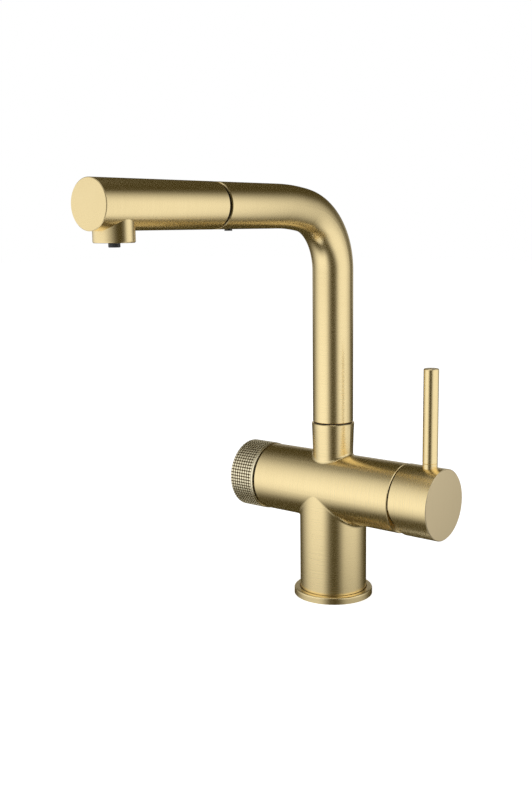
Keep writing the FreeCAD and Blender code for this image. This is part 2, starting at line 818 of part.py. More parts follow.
def lever_cap():
    inner, half = cap_radius - cap_skirt, stem_width / 2 + seated
    shell = turned(MIXER, [(cap_start, inner), (cap_start, cap_radius - end_bevel),
                           (cap_start + end_bevel, cap_radius), (cap_end - cap_bevel, cap_radius),
                           (cap_end, cap_radius - cap_bevel), (cap_end, 0), (cap_floor, 0),
                           (cap_floor, inner)])
    hub = rod(MIXER, cap_start + cap_hub_inset, cap_floor, hypot(half, half) + cap_hub_wall)
    socket = level_block(cap_start, stem_end, half, -half, half)
    grub = rod(LEVER_GRUB, 0, 2 * cap_radius, lever_grub_diameter / 2 + seated)
    return without(joined(shell, hub), cap_cut(), socket, grub, *lever_pin_parts(seated))


def lever_pin_parts(margin):
    """The lever pin and its threaded stub, or the room for them with a margin all round."""
    seat, top = cap_radius - lever_pin_sink, lever_pin_top - barrel_height
    pin = bevelled_rod(LEVER_PIN, seat, top, lever_pin_diameter / 2 + margin, end_bevel)
    stub = rod(LEVER_PIN, seat - lever_stub_length, seat, lever_stub_diameter / 2 + margin)
    return [pin, stub]


def lever_pin():
    place, half, radius = cap_radius + lever_ring_rise, lever_ring_width / 2, lever_pin_diameter / 2
    ring = turned(LEVER_PIN, [(place - half, radius), (place, radius - lever_ring_depth),
                              (place + half, radius), (place + half, radius + half),
                              (place - half, radius + half)])
    return joined(*lever_pin_parts(0)).cut(ring)


def lever_grub_screw():
    start, radius = stem_width / 2, lever_grub_diameter / 2
    end = start + lever_grub_length
    body = turned(LEVER_GRUB, [(start, 0), (start, radius - tip_bevel), (start + tip_bevel, radius),
                               (end, radius), (end, 0)])
    return body.cut(hex_bar(LEVER_GRUB, end - screw_socket_depth, end, radius))


# Filter valve

def filter_valve_body():
    spindle, nose = spindle_diameter / 2 + running, valve_nose_diameter / 2
    thread, gland = valve_thread_diameter / 2, valve_gland_diameter / 2
    cavity_end = spindle_shoulder + free
    body = turned(FILTER, [(valve_disc_place, valve_inside), (valve_disc_place, nose),
                           (valve_thread_place, nose), (valve_thread_place, thread),
                           (valve_gland, thread), (valve_gland, gland), (valve_end, gland),
                           (valve_end, spindle), (cavity_end, spindle), (cavity_end, valve_inside)])
    collar = hex_bar(FILTER, valve_collar, valve_gland, valve_hex).cut(
        rod(FILTER, valve_collar, valve_gland, spindle))
    window = level_block(-spindle_place - valve_window_length, -spindle_place, valve_window_width / 2,
                         -2 * nose, 2 * nose)
    return without(joined(body, collar), window)


def filter_valve_washer():
    return pipe(FILTER, valve_shoulder, valve_collar, valve_hex / 2 + valve_washer_rim,
                valve_thread_diameter / 2 + seated)


def filter_seat_seal():
    return pipe(FILTER, valve_floor, valve_disc_place, valve_nose_diameter / 2 - valve_seal_rim,
                channel_radius + valve_seal_rim)


def valve_disc_at(place, first_angle):
    """A ceramic disc with two facing openings; the other disc's openings lie a full turn away."""
    disc = rod(FILTER, place, place + valve_disc, valve_inside - sliding)
    radius = valve_inside - valve_disc_land
    start = FILTER.origin + FILTER.along * place
    for angle in (first_angle, first_angle + 180):
        edge = Vector(0, cos(radians(angle)), sin(radians(angle)))
        corners = [start + edge * inner + FILTER.along * depth for inner, depth in
                   ((valve_disc_land, 0), (radius, 0), (radius, valve_disc),
                    (valve_disc_land, valve_disc))]
        wedge = Part.Face(Part.makePolygon(corners + corners[:1]))
        disc = disc.cut(wedge.revolve(FILTER.origin, RIGHT, knob_turn * 0.8))
    return disc


def filter_fixed_disc():
    return valve_disc_at(valve_disc_place, 0)


def filter_moving_disc():
    return valve_disc_at(valve_disc_place + valve_disc, knob_turn)


def filter_spindle():
    radius, foot = spindle_diameter / 2, valve_inside - sliding
    shaft = turned(FILTER, [(spindle_place, 0), (spindle_place, foot), (spindle_shoulder, foot),
                            (spindle_shoulder, radius), (spindle_end - tip_bevel, radius),
                            (spindle_end, radius - tip_bevel), (spindle_end, 0)])
    flat = level_block(-spindle_end, -hub_start, radius, -2 * radius, spindle_flat - radius)
    return without(shaft, flat, o_ring_groove(FILTER, spindle_ring_place, radius, spindle_o_ring))


def spindle_seal():
    return o_ring(FILTER, spindle_ring_place, spindle_diameter / 2, spindle_o_ring)


# Filter knob

def filter_knob():
    rim, grip = knob_radius - knob_rim_step, knob_start + knob_rim
    shell = turned(FILTER, [(knob_start, knob_cavity), (knob_start, rim), (grip, rim),
                            (grip, knob_radius), (knob_end - end_bevel, knob_radius),
                            (knob_end, knob_radius - end_bevel), (knob_end, 0), (knob_floor, 0),
                            (knob_floor, knob_cavity)])
    hub = rod(FILTER, hub_start, knob_floor, bush_radius + knob_hub_wall)
    bore = rod(FILTER, hub_start, bush_end + free, bush_radius + seated)
    grub = rod(KNOB_GRUB, 0, 2 * knob_radius, knob_grub_diameter / 2 + seated)
    return without(joined(shell, hub), bore, grub)


def knob_spline_bush():
    bush = pipe(FILTER, hub_start, bush_end, bush_radius, spindle_diameter / 2 + seated)
    return bush.cut(rod(KNOB_GRUB, 0, 2 * bush_radius, knob_grub_diameter / 2 + seated))


def knob_grub_screw():
    start, end = spindle_diameter / 2 - spindle_flat, bush_radius + knob_hub_wall
    radius = knob_grub_diameter / 2
    body = turned(KNOB_GRUB, [(start, 0), (start, radius - tip_bevel), (start + tip_bevel, radius),
                              (end, radius), (end, 0)])
    return body.cut(hex_bar(KNOB_GRUB, end - screw_socket_depth, end, radius))


PIECES = [
    tap_body, base_flange, base_seal,
    spout_retaining_screw, spout_tube, spout_spigot, spout_o_rings, spout_washer,
    docking_collar, docking_screw,
    spray_hose_lower, spray_hose_middle, spray_hose_upper,
    filter_tube_lower, filter_tube_middle, filter_tube_upper,
    spray_head_shell, head_tail, docking_o_ring, hose_ferrule, water_carrier, filter_duct,
    filtered_outlet, aerator_housing, aerator_screen, aerator_seal,
    cartridge_port_seals, cartridge_base_plate, cartridge_housing, mixer_fixed_disc,
    mixer_moving_disc, disc_carrier, cartridge_rotor, lever_pivot_pin, cartridge_stem,
    cartridge_nut, cartridge_cover,
    lever_cap, lever_pin, lever_grub_screw,
    filter_valve_body, filter_valve_washer, filter_seat_seal, filter_fixed_disc,
    filter_moving_disc, filter_spindle, spindle_seal,
    filter_knob, knob_spline_bush, knob_grub_screw,
]

os.makedirs("parts", exist_ok=True)
for piece in PIECES:
    piece().exportStep(os.path.join("parts", piece.__name__ + ".step"))
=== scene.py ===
"""A brushed gold kitchen tap with a swivelling spout, a pull-out spray head, a mixer lever and a
knurled filter knob, on a pale studio floor. Sizes are in metres."""
import json
from math import cos, pi, radians, sin

import bmesh
import bpy
from mathutils import Matrix, Vector


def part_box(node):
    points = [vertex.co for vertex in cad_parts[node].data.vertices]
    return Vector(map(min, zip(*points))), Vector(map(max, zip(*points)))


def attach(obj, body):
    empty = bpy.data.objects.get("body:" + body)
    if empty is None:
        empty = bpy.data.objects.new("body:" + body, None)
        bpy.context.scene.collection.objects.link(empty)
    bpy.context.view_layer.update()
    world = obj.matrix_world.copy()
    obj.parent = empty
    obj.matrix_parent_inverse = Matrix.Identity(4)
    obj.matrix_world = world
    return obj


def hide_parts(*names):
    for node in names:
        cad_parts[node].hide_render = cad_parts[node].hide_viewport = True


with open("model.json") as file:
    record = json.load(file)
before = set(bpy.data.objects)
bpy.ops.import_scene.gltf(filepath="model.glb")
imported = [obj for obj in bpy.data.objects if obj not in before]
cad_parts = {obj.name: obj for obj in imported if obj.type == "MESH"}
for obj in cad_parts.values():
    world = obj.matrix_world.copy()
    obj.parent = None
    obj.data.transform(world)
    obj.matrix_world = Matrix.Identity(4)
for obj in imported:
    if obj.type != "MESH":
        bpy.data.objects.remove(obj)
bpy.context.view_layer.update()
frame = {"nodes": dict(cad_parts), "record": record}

MM = 0.001
nodes = frame["nodes"]
scene = bpy.context.scene

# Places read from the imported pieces

knob_low, knob_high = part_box("filter_knob")
knob_radius = (knob_high.z - knob_low.z) / 2
barrel_axis = (knob_high.z + knob_low.z) / 2
knob_end, knob_start = knob_low.x, knob_high.x
cap_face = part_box("lever_cap")[1].x
spout_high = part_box("spout_tube")[1]
tube_radius = spout_high.x
arm_axis = spout_high.z - tube_radius
bush_low, bush_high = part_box("knob_spline_bush")
grub_low, grub_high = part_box("knob_grub_screw")

# Brushing of the gold pieces

bend_radius = 41 * MM          # of the spout's middle line, as the brushing follows it
bend_rise = 42.8 * MM          # from the start of the bend up to the arm's axis
casting_blend = 24.1 * MM      # the barrel's brushing ends this far from its axis
face_edge = 0.6 * MM           # the look of the cap's flat end reaches this far back
fine_brush = 0.25 * MM
broad_brush = 1.2 * MM
brush_length = 18 * MM
brush_depth = 0.01 * MM
brush_relief = 0.12

# Colours and roughness of the gold pieces, each of the darker and the lighter brush lines

gold_dark, gold_light = (0.95, 0.770, 0.415), (0.985, 0.805, 0.445)
gold_roughness = 0.285, 0.255
# The knob's gold is paler and lighter than the rest: a painted highlight for the glints on its
# studs.
knob_highlit_dark, knob_highlit_light = (1.0, 0.88, 0.60), (1.0, 0.93, 0.68)
# painted shade in the knob's grooves
groove_shade_colour = (0.13, 0.09, 0.04)
# painted shade that greys and darkens the cap's flat end
cap_face_shade_colour = (0.45, 0.40, 0.32)
cap_face_shade_share = 0.5        # share of that painted shade in the flat end
cap_face_roughness = 0.50

# Braid of the hose

hose_bend = 45.1 * MM          # the hose lies straight along the arm from here on
strands_round = 24
strand_pitch = 1.1 * MM
strand_height = 0.2 * MM
strand_dark, strand_light = (0.10, 0.10, 0.105), (0.36, 0.36, 0.37)
strand_roughness = 0.55, 0.42

# The knob's studs, its cavity and its hub

knurl_round = 68
knurl_rows = 9
knurl_groove = 0.17 * MM       # floor beside each stud
knurl_corner = 0.50 * MM       # cut off a stud's corners, which makes it round
knurl_depth = 0.5 * MM
knurl_flank = 0.16 * MM        # width of each stud's sloping side
crown_depth = 0.07 * MM
crown_edge = 0.18 * MM
groove_shade_softness = 0.1 * MM     # of the painted groove shade's ends at the rim and the bevel
knob_rim = 1.6 * MM
knob_rim_step = 0.1 * MM
knob_wall = 4.1 * MM
knob_face = 3.5 * MM
knob_bevel = 0.4 * MM
knob_hub_wall = 2.0 * MM
knob_bush_room = 0.3 * MM
grub_room = 0.02 * MM
grub_hole_sides = 32
merge_distance = 0.001 * MM


# Building materials from shader nodes

def feed(tree, socket, value):
    """Joins an output to a socket, or sets the socket to a plain value."""
    if isinstance(value, bpy.types.NodeSocket):
        tree.links.new(value, socket)
    else:
        socket.default_value = value


def add(tree, kind, inputs, **settings):
    """A new node with its settings, and its inputs by name or number."""
    node = tree.nodes.new(kind)
    for name, value in settings.items():
        setattr(node, name, value)
    for name, value in inputs.items():
        feed(tree, node.inputs[name], value)
    return node


def maths(tree, operation, *values):
    node = tree.nodes.new("ShaderNodeMath")
    node.operation = operation
    for socket, value in zip(node.inputs, values):
        feed(tree, socket, value)
    return node.outputs[0]


def choose(tree, share, first, second):
    """The first number where share is 0 and the second where it is 1."""
    kept = maths(tree, "MULTIPLY", first, maths(tree, "SUBTRACT", 1.0, share))
    return maths(tree, "MULTIPLY_ADD", second, share, kept)


def blend(tree, share, first, second):
    """The first colour where share is 0 and the second where it is 1."""
    return add(tree, "ShaderNodeMix", {0: share, 6: first, 7: second}, data_type="RGBA").outputs[2]


def shade(tree, share, dark, light):
    """A colour between two plain ones."""
    return blend(tree, share, (*dark, 1), (*light, 1))


def spread(tree, value, low, high):
    """Noise, which stays near a half, drawn out to run from low to high."""
    return add(tree, "ShaderNodeMapRange", {"Value": value, "From Min": 0.3, "From Max": 0.7,
                                            "To Min": low, "To Max": high}).outputs["Result"]


def step_up(tree, value, place, softness):
    """0 below a place and 1 above it, with a soft edge."""
    return add(tree, "ShaderNodeMapRange", {"Value": value, "From Min": place - softness,
                                            "From Max": place + softness},
               interpolation_type="SMOOTHSTEP").outputs["Result"]


def band(tree, value, start, end):
    """1 between two places, each with the softness of its edge."""
    return maths(tree, "SUBTRACT", step_up(tree, value, *start), step_up(tree, value, *end))


def start_material(name):
    """A new material with its node tree and its shader node."""
    material = bpy.data.materials.new(name)
    material.use_nodes = True
    tree = material.node_tree
    return material, tree, tree.nodes["Principled BSDF"]


def own_places(tree):
    """The piece's own coordinates, together and as x, y and z."""
    place = add(tree, "ShaderNodeTexCoord", {}).outputs["Object"]
    return place, add(tree, "ShaderNodeSeparateXYZ", {"Vector": place}).outputs


def relief(tree, height, strength, depth):
    """The slopes of a fine raised pattern."""
    bump = add(tree, "ShaderNodeBump", {"Strength": strength, "Distance": depth, "Height": height})
    return bump.outputs[0]


def dress(tree, surface, colour, roughness, normal):
    """Gives a surface its colour, roughness and raised pattern."""
    feed(tree, surface.inputs["Base Color"], colour)
    feed(tree, surface.inputs["Roughness"], roughness)
    feed(tree, surface.inputs["Normal"], normal)


def tint(tree, share, colour):
    """Turns a share, from 0 to 1, of a surface's own colour into another."""
    base = tree.nodes["Principled BSDF"].inputs["Base Color"]
    feed(tree, base, blend(tree, share, base.links[0].from_socket, (*colour, 1)))


# Brushed gold: fine lines that run round each piece, found from the way across them

def across_column(tree, x, y, z):
    """Lines run round the column, the flange and the pin."""
    return z


def across_barrel(tree, x, y, z):
    """Lines run round the barrel and the knob."""
    return x


def barrel_squares(tree, y, z):
    """Square of the distance from the barrel's axis."""
    height = maths(tree, "SUBTRACT", z, barrel_axis)
    return maths(tree, "MULTIPLY_ADD", height, height, maths(tree, "MULTIPLY", y, y))


def across_casting(tree, x, y, z):
    """Lines run round the barrel near it, and round the column and neck elsewhere."""
    outside = maths(tree, "GREATER_THAN", barrel_squares(tree, y, z), casting_blend ** 2)
    return choose(tree, outside, x, z)


def across_spout(tree, x, y, z):
    """Way along the spout's middle line: up the riser, round the bend and out along the arm."""
    bend_height = arm_axis - bend_rise
    inward = maths(tree, "MAXIMUM", maths(tree, "ADD", y, bend_radius), 0.0)
    upward = maths(tree, "MAXIMUM", maths(tree, "SUBTRACT", z, bend_height), 0.0)
    turn = maths(tree, "MULTIPLY", maths(tree, "ARCTAN2", upward, inward), bend_radius)
    beyond = maths(tree, "MAXIMUM", maths(tree, "SUBTRACT", -bend_radius, y), 0.0)
    riser = maths(tree, "MINIMUM", z, bend_height)
    return maths(tree, "ADD", maths(tree, "ADD", riser, turn), beyond)


def across_head(tree, x, y, z):
    """Lines run round the head, and round the nozzle below it."""
    below = maths(tree, "LESS_THAN", z, arm_axis - tube_radius)
    return choose(tree, below, y, z)


def on_cap_face(tree, x):
    """1 on the cap's flat end and 0 on its side."""
    return maths(tree, "GREATER_THAN", x, cap_face - face_edge)


def across_cap(tree, x, y, z):
    """Lines run round the cap, and straight up on its flat end."""
    return choose(tree, on_cap_face(tree, x), x, y)


def brush_lines(tree, place, across, width):
    """Noise that changes fast across the lines and slowly along them."""
    drawn_out = add(tree, "ShaderNodeVectorMath", {0: place}, operation="SCALE")
    feed(tree, drawn_out.inputs["Scale"], 1 / brush_length)
    lines = add(tree, "ShaderNodeTexNoise", {"Vector": drawn_out.outputs[0], "Scale": 1.0,
                                             "Detail": 2.0, "Roughness": 0.6},
                noise_dimensions="4D")
    feed(tree, lines.inputs["W"], maths(tree, "DIVIDE", across, width))
    return lines.outputs[0]


def brushed_gold(name, across_piece, dark=gold_dark, light=gold_light):
    finish, tree, metal = start_material(name)
    place, (x, y, z) = own_places(tree)
    across = across_piece(tree, x, y, z)
    fine = brush_lines(tree, place, across, fine_brush)
    broad = brush_lines(tree, place, across, broad_brush)
    both = maths(tree, "MULTIPLY", maths(tree, "ADD", fine, broad), 0.5)
    feed(tree, metal.inputs["Metallic"], 1.0)
    dress(tree, metal, shade(tree, spread(tree, both, 0.0, 1.0), dark, light),
          spread(tree, both, *gold_roughness), relief(tree, both, brush_relief, brush_depth))
    return finish


def knurled_gold():
    """The knob's gold, paler and lighter for a painted highlight on the studs, with painted shade
    darkening the grooves between them.
    """
    finish = brushed_gold("gold_knob", across_barrel, knob_highlit_dark, knob_highlit_light)
    tree = finish.node_tree
    _, (x, y, z) = own_places(tree)
    sunk = maths(tree, "SUBTRACT", knob_radius, maths(tree, "SQRT", barrel_squares(tree, y, z)))
    groove_shade = step_up(tree, sunk, 0.5 * knurl_depth, 0.3 * knurl_depth)
    grip = band(tree, x, (knob_end + knob_bevel, groove_shade_softness),
                (knob_start - knob_rim, groove_shade_softness))
    # Painted shade darkens the grooves between the studs.
    tint(tree, maths(tree, "MULTIPLY", groove_shade, grip), groove_shade_colour)
    return finish


def cap_gold():
    """The cap's gold, duller on the flat end, and greyer and darker there with painted shade."""
    finish = brushed_gold("gold_cap", across_cap)
    tree = finish.node_tree
    _, (x, _, _) = own_places(tree)
    on_face = on_cap_face(tree, x)
    roughness = tree.nodes["Principled BSDF"].inputs["Roughness"]
    side = roughness.links[0].from_socket
    feed(tree, roughness, choose(tree, on_face, side, cap_face_roughness))
    # Painted shade: the flat end greyed and darkened.
    tint(tree, maths(tree, "MULTIPLY", on_face, cap_face_shade_share), cap_face_shade_colour)
    return finish


# Finishes of the small and inner pieces

def grained(name, dark, light, roughness, grain, depth, metallic=0.0):
    """A surface with a fine even grain, cast, moulded or turned, and broad faint clouds."""
    finish, tree, surface = start_material(name)
    place, _ = own_places(tree)
    speckle = add(tree, "ShaderNodeTexNoise", {"Vector": place, "Scale": 1 / grain, "Detail": 3.0,
                                               "Roughness": 0.55}).outputs[0]
    cloud = add(tree, "ShaderNodeTexNoise", {"Vector": place, "Scale": 0.1 / grain,
                                             "Detail": 1.0}).outputs[0]
    feed(tree, surface.inputs["Metallic"], metallic)
    dress(tree, surface, shade(tree, spread(tree, cloud, 0.0, 1.0), dark, light),
          spread(tree, speckle, roughness - 0.05, roughness + 0.05),
          relief(tree, speckle, 0.4, depth))
    return finish


def braided_hose():
    """Two sets of strands that wind opposite ways round the hose."""
    finish, tree, surface = start_material("braided_hose")
    _, (x, y, z) = own_places(tree)
    on_arm = maths(tree, "LESS_THAN", y, -hose_bend)
    side = choose(tree, on_arm, y, maths(tree, "SUBTRACT", z, arm_axis))
    turn = maths(tree, "MULTIPLY", maths(tree, "ARCTAN2", side, x), strands_round / 2)
    along = maths(tree, "MULTIPLY", across_spout(tree, x, y, z), pi / strand_pitch)
    right_hand = maths(tree, "SINE", maths(tree, "ADD", turn, along))
    left_hand = maths(tree, "SINE", maths(tree, "SUBTRACT", turn, along))
    weave = maths(tree, "MULTIPLY", right_hand, left_hand)
    height = maths(tree, "MULTIPLY_ADD", weave, 0.5, 0.5)
    dress(tree, surface, shade(tree, height, strand_dark, strand_light),
          spread(tree, height, *strand_roughness), relief(tree, height, 0.6, strand_height))
    return finish


def clear_tube():
    finish = grained("clear_tube", (0.74, 0.79, 0.82), (0.82, 0.86, 0.88),
                     roughness=0.22, grain=0.9 * MM, depth=0.01 * MM)
    surface = finish.node_tree.nodes["Principled BSDF"]
    surface.inputs["Transmission Weight"].default_value = 0.35
    surface.inputs["IOR"].default_value = 1.5
    return finish


blackened_steel = grained("blackened_steel", (0.010, 0.010, 0.010), (0.020, 0.019, 0.018),
                          roughness=0.4, grain=0.3 * MM, depth=0.01 * MM)

# Each piece's own finish, or else the one of its material

piece_finishes = {
    "tap_body": brushed_gold("gold_casting", across_casting),
    "base_flange": brushed_gold("gold_flange", across_column),
    "spout_tube": brushed_gold("gold_spout", across_spout),
    "spray_head_shell": brushed_gold("gold_head", across_head),
    "lever_cap": cap_gold(),
    "lever_pin": brushed_gold("gold_pin", across_column),
    "filter_knob": knurled_gold(),
    "docking_screw": blackened_steel,
    "cartridge_nut": blackened_steel,
}
material_finishes = {
    "plain_brass": grained("turned_brass", (0.62, 0.45, 0.20), (0.72, 0.55, 0.27),
                           roughness=0.3, grain=0.5 * MM, depth=0.01 * MM, metallic=1.0),
    "stainless": grained("satin_steel", (0.30, 0.28, 0.25), (0.42, 0.39, 0.35),
                         roughness=0.36, grain=0.3 * MM, depth=0.01 * MM, metallic=1.0),
    "black_plastic": grained("black_plastic", (0.012, 0.012, 0.012), (0.022, 0.022, 0.021),
                             roughness=0.45, grain=0.35 * MM, depth=0.02 * MM),
    "pale_acetal": grained("pale_acetal", (0.72, 0.72, 0.68), (0.80, 0.80, 0.76),
                           roughness=0.42, grain=0.5 * MM, depth=0.02 * MM),
    "black_rubber": grained("black_rubber", (0.016, 0.016, 0.015), (0.028, 0.027, 0.026),
                            roughness=0.62, grain=0.3 * MM, depth=0.03 * MM),
    "white_ceramic": grained("white_ceramic", (0.80, 0.79, 0.75), (0.86, 0.85, 0.81),
                             roughness=0.16, grain=0.4 * MM, depth=0.004 * MM),
    "grey_hose": braided_hose(),
    "clear_tube": clear_tube(),
    "dark_outlet": grained("grey_outlet", (0.035, 0.037, 0.040), (0.060, 0.062, 0.066),
                           roughness=0.4, grain=0.3 * MM, depth=0.02 * MM),
}


def finish_nodes():
    for row in frame["record"]["subparts"]:
        name = row["node"]
        piece = nodes[name]
        finish = piece_finishes.get(name) or material_finishes[row["material_slot"]]
        if not piece.material_slots:
            piece.data.materials.append(finish)
        for slot in piece.material_slots:
            slot.material = finish


# Knurled filter knob

def new_piece(name, shape, finish):
    """An object at the origin with a finished shape and one material."""
    mesh = bpy.data.meshes.new(name)
    shape.to_mesh(mesh)
    shape.free()
    mesh.materials.append(finish)
    piece = bpy.data.objects.new(name, mesh)
    scene.collection.objects.link(piece)
    return piece


def draw_line(shape, points):
    """Draws a chain of edges through points given as place along the barrel and radius."""
    corners = [shape.verts.new((along, 0, radius)) for along, radius in points]
    for pair in zip(corners, corners[1:]):
        shape.edges.new(pair)


def knob_outline():
    """Half section of the knob in two lines from its cavity's mouth: one round the outside to the
    middle of its end, and one round the cavity and the hub to the end of the hub's bore."""
    rim, cavity = knob_radius - knob_rim_step, knob_radius - knob_wall
    root = knob_radius - knurl_depth
    grip_start, grip_end = knob_start - knob_rim, knob_end + knob_bevel
    row = (grip_end - grip_start) / knurl_rows
    floor = knob_end + knob_face
    hub = (bush_high.z - bush_low.z) / 2 + knob_hub_wall
    bore, bore_end = hub - knob_hub_wall, bush_low.x - knob_bush_room
    soft = knob_bevel / 2
    outside = [(knob_start, cavity), (knob_start, rim - soft), (knob_start - soft, rim),
               (grip_start, rim),
               *[(grip_start + row * count, root) for count in range(knurl_rows + 1)],
               (knob_end, knob_radius - 2 * knob_bevel), (knob_end, 0)]
    inside = [(knob_start, cavity), (floor, cavity), (floor, hub), (bush_high.x, hub),
              (bush_high.x, bore), (bore_end, bore), (bore_end, 0)]
    return outside, inside


def is_grip(face):
    """True on the outside between the rim and the far bevel."""
    middle = face.calc_center_median()
    grip = knob_end + knob_bevel < middle.x < knob_start - knob_rim
    return grip and middle.yz.length > knob_radius - 1.5 * knurl_depth


def knurled_knob():
    shape = bmesh.new()
    for line in knob_outline():
        draw_line(shape, line)
    bmesh.ops.remove_doubles(shape, verts=shape.verts, dist=merge_distance)
    bmesh.ops.spin(shape, geom=shape.verts[:] + shape.edges[:], axis=(1, 0, 0), cent=(0, 0, 0),
                   angle=2 * pi, steps=knurl_round, use_merge=True)
    bmesh.ops.remove_doubles(shape, verts=shape.verts, dist=merge_distance)
    bmesh.ops.recalc_face_normals(shape, faces=shape.faces)
    studs = [face for face in shape.faces if is_grip(face)]
    bmesh.ops.inset_individual(shape, faces=studs, thickness=knurl_groove, depth=0)
    corners = {corner for face in studs for corner in face.verts}
    bmesh.ops.bevel(shape, geom=list(corners), affect="VERTICES", offset=knurl_corner,
                    segments=1, profile=0.5, material=-1)
    studs = [face for face in shape.faces if len(face.verts) == 8 and is_grip(face)]
    bmesh.ops.inset_individual(shape, faces=studs, thickness=knurl_flank,
                               depth=knurl_depth - crown_depth)
    bmesh.ops.inset_individual(shape, faces=studs, thickness=crown_edge, depth=crown_depth)
    bmesh.ops.translate(shape, verts=shape.verts, vec=(0, 0, barrel_axis))
    return new_piece("knurled_filter_knob", shape, piece_finishes["filter_knob"])


def drill_grub_hole(piece):
    """The hole for the grub screw, up through the grip and the hub's wall."""
    place = (grub_low + grub_high) / 2
    radius = (grub_high.x - grub_low.x) / 2 + grub_room
    shape = bmesh.new()
    bmesh.ops.create_cone(shape, cap_ends=True, segments=grub_hole_sides, radius1=radius,
                          radius2=radius, depth=2 * knob_radius)
    bmesh.ops.translate(shape, verts=shape.verts,
                        vec=(place.x, place.y, grub_high.z - knob_radius))
    drill = new_piece("drill", shape, piece_finishes["filter_knob"])
    hole = piece.modifiers.new("grub_hole", "BOOLEAN")
    hole.object = drill
    hole.solver = "EXACT"
    drilled = piece.evaluated_get(bpy.context.evaluated_depsgraph_get())
    cut = bpy.data.meshes.new_from_object(drilled)
    piece.modifiers.clear()
    piece.data = cut
    bpy.data.objects.remove(drill)


def make_knob():
    """The knurled knob takes the place of the plain one."""
    knob = knurled_knob()
    drill_grub_hole(knob)
    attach(knob, "knob")
    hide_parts("filter_knob")


# Studio: a white room, a dark tent round the tap that only the metal sees, soft lamps and a floor

room_light = 0.35
floor_colour = (0.80, 0.80, 0.80)
floor_glow = 0.74
floor_reach = 6.0
tent_colour = (0.056, 0.045, 0.016)
tent_radius = 0.290
tent_centre = Vector((-0.076, -0.072))
tent_foot, tent_top = -1.0, 1.6
backdrop_distance = 1.1
backdrop_foot, backdrop_top = -2.0, 2.0
backdrop_grey = 0.40
window_light = 1.03
right_share = 0.91             # of the left window's light
sheet_steps = 128
lamp_distance, lamp_height, lamp_size = 1.6, 1.0, 1.2
lamp_aim = Vector((0, -0.05, 0.15))

# Windows and the gap by their left, right, low and high edges, each a place and its softness.
# Left and right are compass angles about the tent's middle, in degrees. The open top and the
# backdrop's strip have heights alone.

left_window = (-171.3, 50.3), (-60.9, 21.1), (-0.17, 0.22), (0.53, 0.51)
right_window = (-9.1, 13.5), (45.2, 19.9), (-0.058, 0.149), (0.429, 0.149)
back_gap = (70.0, 8.0), (150.0, 8.0), (-0.8, 0.05), (0.42, 0.05)
open_top = 1.0, 0.15
far_left_window = (-150.0, 25.0), (-72.0, 12.0), (-0.25, 0.35), (0.9, 0.5)
far_right_window = (-35.0, 12.0), (12.0, 12.0), (-0.25, 0.35), (0.9, 0.5)
backdrop_strip = (0.10, 0.04), (0.42, 0.22)
front_seam, back_seam = 100.0, 288.0    # where the angles jump, clear of windows and gap


def seen_directly(tree):
    """1 for what the camera sees, also in metal or through plastic, and 0 for light on a surface."""
    path = add(tree, "ShaderNodeLightPath", {}).outputs
    mirrored = maths(tree, "MAXIMUM", path["Is Glossy Ray"], path["Is Transmission Ray"])
    return maths(tree, "MAXIMUM", path["Is Camera Ray"], mirrored)


def white_room():
    world = bpy.data.worlds.new("white_room")
    world.use_nodes = True
    world.cycles.sampling_method = "NONE"
    tree = world.node_tree
    light = tree.nodes["Background"]
    light.inputs["Color"].default_value = (1, 1, 1, 1)
    feed(tree, light.inputs["Strength"], choose(tree, seen_directly(tree), room_light, 1.0))
    scene.world = world


def stage_object(name, shape, material):
    thing = new_piece(name, shape, material)
    return thing


def pale_floor():
    """The floor glows for the camera, so that it is white, and stays matt, so that it holds a
    shadow."""
    floor, tree, surface = start_material("pale_floor")
    surface.inputs["Base Color"].default_value = (*floor_colour, 1)
    surface.inputs["Roughness"].default_value = 0.9
    surface.inputs["Specular IOR Level"].default_value = 0.0
    surface.inputs["Emission Color"].default_value = (1, 1, 1, 1)
    glow = maths(tree, "MULTIPLY", seen_directly(tree), floor_glow)
    feed(tree, surface.inputs["Emission Strength"], glow)
    shape = bmesh.new()
    bmesh.ops.create_grid(shape, x_segments=1, y_segments=1, size=floor_reach)
    stage_object("floor", shape, floor).visible_glossy = False


def window(tree, angle, height, left, right, low, high):
    """1 in an opening between two compass angles and two heights."""
    return maths(tree, "MULTIPLY", band(tree, angle, left, right), band(tree, height, low, high))


def plain_glow(tree, light):
    """A surface that only shines, dark as the tent where the light is 0 and bright where it is 1."""
    glow = add(tree, "ShaderNodeEmission", {"Strength": 1.0})
    feed(tree, glow.inputs["Color"], shade(tree, light, tent_colour, (window_light,) * 3))
    return glow.outputs[0]


def show(tree, surface):
    """Makes this the look of a stage sheet."""
    feed(tree, tree.nodes["Material Output"].inputs["Surface"], surface)


def compass_angle(tree, x, y, seam):
    """Direction from the tent's middle in degrees, which jumps at the seam."""
    side = maths(tree, "SUBTRACT", y, tent_centre.y)
    front = maths(tree, "SUBTRACT", x, tent_centre.x)
    angle = maths(tree, "DEGREES", maths(tree, "ARCTAN2", side, front))
    return maths(tree, "WRAP", angle, seam, seam - 360.0)


def tent_cloth():
    """Dark cloth with lit windows on the left and the right, an open top and a gap at the back.
    It shows from its inner side alone."""
    cloth, tree, _ = start_material("tent_cloth")
    _, (x, y, z) = own_places(tree)
    round_front = compass_angle(tree, x, y, front_seam)
    round_back = compass_angle(tree, x, y, back_seam)
    left = window(tree, round_front, z, *left_window)
    right = maths(tree, "MULTIPLY", window(tree, round_front, z, *right_window), right_share)
    gap = window(tree, round_back, z, *back_gap)
    opening = maths(tree, "MAXIMUM", gap, step_up(tree, z, *open_top))
    outside = add(tree, "ShaderNodeNewGeometry", {}).outputs["Backfacing"]
    unseen = maths(tree, "MAXIMUM", opening, outside)
    clear = add(tree, "ShaderNodeBsdfTransparent", {}).outputs[0]
    lit = plain_glow(tree, maths(tree, "MAXIMUM", left, right))
    show(tree, add(tree, "ShaderNodeMixShader", {0: unseen, 1: lit, 2: clear}).outputs[0])
    return cloth


